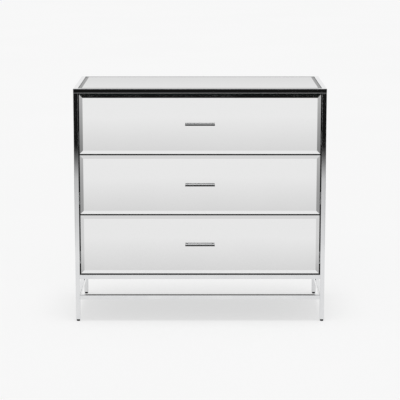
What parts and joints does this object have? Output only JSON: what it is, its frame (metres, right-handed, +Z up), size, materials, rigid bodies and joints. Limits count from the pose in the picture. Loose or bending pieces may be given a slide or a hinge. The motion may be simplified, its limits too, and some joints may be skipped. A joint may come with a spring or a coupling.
{
  "type": "chest of drawers",
  "caption": "Straight mirrored chest of drawers: bevelled mirror fronts, top and sides inside a cage of polished square tube on a low stretcher ring, slim bar pulls, full-extension runners.",
  "frame": {"origin": "on the floor under the middle of the overall box, pulls included", "axes": "+X towards the viewer's right, -Y towards the viewer, out of the drawer fronts, +Z up"},
  "size_m": [0.914, 0.4759, 0.86],
  "materials": {
    "polished_tube": "mirror-polished steel tube",
    "polished_pull": "mirror-polished steel bar",
    "mirror_glass": "silvered float glass with a bevelled border",
    "black_board": "black lacquered fibreboard",
    "box_wood": "clear-lacquered birch plywood",
    "back_sheet": "black-faced hardboard",
    "plain_steel": "zinc-plated sheet steel",
    "black_nylon": "moulded black nylon"
  },
  "bodies": {
    "case": {"front_left_post": "polished_tube", "front_right_post": "polished_tube", "back_left_post": "polished_tube", "back_right_post": "polished_tube", "top_front_rail": "polished_tube", "top_right_rail": "polished_tube", "top_back_rail": "polished_tube", "top_left_rail": "polished_tube", "bottom_front_rail": "polished_tube", "bottom_right_rail": "polished_tube", "bottom_back_rail": "polished_tube", "bottom_left_rail": "polished_tube", "stretcher_front_rail": "polished_tube", "stretcher_right_rail": "polished_tube", "stretcher_back_rail": "polished_tube", "stretcher_left_rail": "polished_tube", "floor_glides": "black_nylon", "panel_tabs": "plain_steel", "top_deck": "black_board", "top_mirror": "mirror_glass", "left_side_board": "black_board", "right_side_board": "black_board", "left_side_mirror": "mirror_glass", "right_side_mirror": "mirror_glass", "back_panel": "back_sheet", "bottom_panel": "black_board", "runner_outer_members": "plain_steel", "case_screws": "plain_steel"},
    "upper_drawer": {"upper_drawer_mirror": "mirror_glass", "upper_drawer_front_board": "black_board", "upper_drawer_left_side": "box_wood", "upper_drawer_right_side": "box_wood", "upper_drawer_back": "box_wood", "upper_drawer_bottom": "box_wood", "upper_drawer_pull": "polished_pull", "upper_drawer_screws": "plain_steel", "upper_runner_inner_members": "plain_steel"},
    "upper_runner": {"upper_runner_intermediate_members": "plain_steel"},
    "middle_drawer": {"middle_drawer_mirror": "mirror_glass", "middle_drawer_front_board": "black_board", "middle_drawer_left_side": "box_wood", "middle_drawer_right_side": "box_wood", "middle_drawer_back": "box_wood", "middle_drawer_bottom": "box_wood", "middle_drawer_pull": "polished_pull", "middle_drawer_screws": "plain_steel", "middle_runner_inner_members": "plain_steel"},
    "middle_runner": {"middle_runner_intermediate_members": "plain_steel"},
    "lower_drawer": {"lower_drawer_mirror": "mirror_glass", "lower_drawer_front_board": "black_board", "lower_drawer_left_side": "box_wood", "lower_drawer_right_side": "box_wood", "lower_drawer_back": "box_wood", "lower_drawer_bottom": "box_wood", "lower_drawer_pull": "polished_pull", "lower_drawer_screws": "plain_steel", "lower_runner_inner_members": "plain_steel"},
    "lower_runner": {"lower_runner_intermediate_members": "plain_steel"}
  },
  "joints": [
    {"name": "upper_drawer_slide", "type": "slide", "parent": "case", "child": "upper_drawer", "axis": [0, -1, 0], "range_m": [0, 0.38]},
    {"name": "upper_runner_slide", "type": "slide", "parent": "case", "child": "upper_runner", "axis": [0, -1, 0], "range_m": [0, 0.19]},
    {"name": "middle_drawer_slide", "type": "slide", "parent": "case", "child": "middle_drawer", "axis": [0, -1, 0], "range_m": [0, 0.38]},
    {"name": "middle_runner_slide", "type": "slide", "parent": "case", "child": "middle_runner", "axis": [0, -1, 0], "range_m": [0, 0.19]},
    {"name": "lower_drawer_slide", "type": "slide", "parent": "case", "child": "lower_drawer", "axis": [0, -1, 0], "range_m": [0, 0.38]},
    {"name": "lower_runner_slide", "type": "slide", "parent": "case", "child": "lower_runner", "axis": [0, -1, 0], "range_m": [0, 0.19]}
  ],
  "couplings": [
    {"joint": "upper_runner_slide", "follows": "upper_drawer_slide", "ratio": 0.5},
    {"joint": "middle_runner_slide", "follows": "middle_drawer_slide", "ratio": 0.5},
    {"joint": "lower_runner_slide", "follows": "lower_drawer_slide", "ratio": 0.5}
  ]
}
